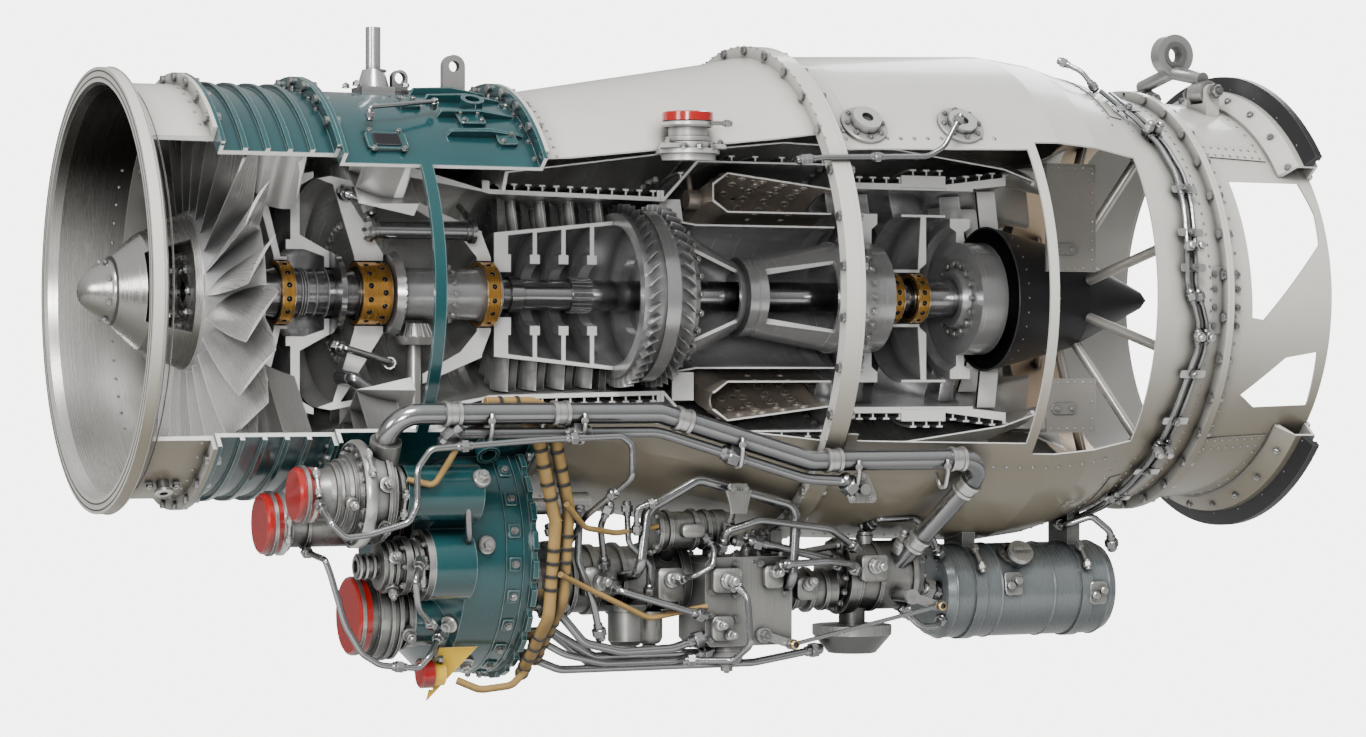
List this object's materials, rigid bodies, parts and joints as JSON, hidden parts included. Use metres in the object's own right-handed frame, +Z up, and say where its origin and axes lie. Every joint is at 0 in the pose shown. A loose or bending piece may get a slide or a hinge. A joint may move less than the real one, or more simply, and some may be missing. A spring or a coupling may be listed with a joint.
{
  "type": "turbofan jet engine, sectioned for display",
  "caption": "Two-shaft turbofan jet engine with its casings cut open for display, an underslung accessory gearbox and a mixed exhaust.",
  "frame": {"origin": "centre of the intake lip's front face, on the engine axis", "axes": "+X aft along the engine axis, +Z up, -Y towards the opened side"},
  "size_m": [1.897, 0.762, 1.009],
  "materials": {
    "teal": "gloss enamel on cast alloy",
    "duct": "pale warm white enamel, satin",
    "bare": "bare alloy, machined",
    "steel": "machined steel",
    "bright": "polished steel",
    "cage": "bronze cages with steel rollers",
    "black": "matt black heat paint",
    "seal": "black rubber",
    "red": "red moulded cover",
    "yellow": "yellow enamel plate with connector cap",
    "tan": "braided sleeve with ties",
    "tank": "grey heat-resistant paint"
  },
  "bodies": {
    "engine": {"intake_case": "duct", "fan_case": "teal", "intermediate_case": "teal", "front_bypass_duct": "duct", "rear_bypass_duct": "duct", "jet_pipe": "duct", "seal_carrier": "steel", "rear_seal": "seal", "flange_bolts": "steel", "fan_stator": "bare", "splitter": "bare", "front_hub": "bare", "hpc_case": "bare", "burner_case": "steel", "flame_tube": "steel", "burners": "steel", "front_nozzle": "steel", "rear_nozzle": "steel", "turbine_case": "steel", "core_cowl": "bare", "exhaust_plug": "black", "mixer": "steel", "inner_pipe": "steel", "front_spigot": "steel", "lifting_eyes": "steel", "duct_ports": "bare", "gearbox": "teal", "starter": "bare", "hydraulic_pump": "steel", "generators": "steel", "blanks": "red", "connector_bracket": "yellow", "fuel_pump": "bare", "fuel_block": "bare", "regulator": "bare", "oil_tank": "tank", "hangers": "steel", "air_pipe": "bright", "fuel_pipes": "bright", "harness": "tan"},
    "low_rotor": {"spinner": "bare", "fan_disc_front": "steel", "fan_blades_front": "bare", "fan_disc_rear": "steel", "fan_blades_rear": "bare", "low_shaft": "bright", "rear_turbine": "steel"},
    "high_rotor": {"high_stub_shaft": "steel", "compressor_drum": "steel", "compressor_rear_wheel": "steel", "high_shaft": "steel", "front_turbine": "steel"},
    "low_cages": {"low_bearing_cages": "cage"},
    "high_cages": {"high_bearing_cages": "cage"},
    "tower_drive": {"tower_shaft": "steel"},
    "rear_link": {"rear_link": "steel"},
    "throttle_lever": {"throttle_lever": "steel"},
    "relay_crank": {"relay_crank": "steel"},
    "control_rod": {"control_rod": "bright"},
    "tank_cap": {"tank_cap": "bare"}
  },
  "joints": [
    {"name": "low_spin", "type": "hinge", "parent": "engine", "child": "low_rotor", "pos_m": [0, 0, 0], "axis": [1, 0, 0], "continuous": true},
    {"name": "high_spin", "type": "hinge", "parent": "engine", "child": "high_rotor", "pos_m": [0, 0, 0], "axis": [1, 0, 0], "continuous": true},
    {"name": "low_cage_spin", "type": "hinge", "parent": "engine", "child": "low_cages", "pos_m": [0, 0, 0], "axis": [1, 0, 0], "continuous": true},
    {"name": "high_cage_spin", "type": "hinge", "parent": "engine", "child": "high_cages", "pos_m": [0, 0, 0], "axis": [1, 0, 0], "continuous": true},
    {"name": "tower_spin", "type": "hinge", "parent": "engine", "child": "tower_drive", "pos_m": [0.476, 0, -0.2], "axis": [0, 0, 1], "continuous": true},
    {"name": "rear_link_swing", "type": "hinge", "parent": "engine", "child": "rear_link", "pos_m": [1.774, 0, 0.33], "axis": [0, 1, 0], "range_deg": [-8, 8]},
    {"name": "throttle_lever_turn", "type": "hinge", "parent": "engine", "child": "throttle_lever", "pos_m": [1.186, -0.213, -0.45], "axis": [0, 1, 0], "range_deg": [-25, 25]},
    {"name": "relay_crank_turn", "type": "hinge", "parent": "engine", "child": "relay_crank", "pos_m": [0.942, -0.213, -0.5], "axis": [0, 1, 0], "range_deg": [-25, 25]},
    {"name": "control_rod_turn", "type": "hinge", "parent": "throttle_lever", "child": "control_rod", "pos_m": [1.229, -0.22, -0.464], "axis": [0, 1, 0], "range_deg": [-25, 25]},
    {"name": "tank_cap_turn", "type": "hinge", "parent": "engine", "child": "tank_cap", "pos_m": [1.407, -0.1492, -0.394], "axis": [0, -0.766, 0.6428], "range_deg": [0, 90]}
  ],
  "couplings": [
    {"joint": "low_cage_spin", "follows": "low_spin", "ratio": 0.45},
    {"joint": "high_cage_spin", "follows": "high_spin", "ratio": 0.455},
    {"joint": "tower_spin", "follows": "high_spin", "ratio": -2},
    {"joint": "relay_crank_turn", "follows": "throttle_lever_turn", "ratio": 1},
    {"joint": "control_rod_turn", "follows": "throttle_lever_turn", "ratio": -1}
  ]
}
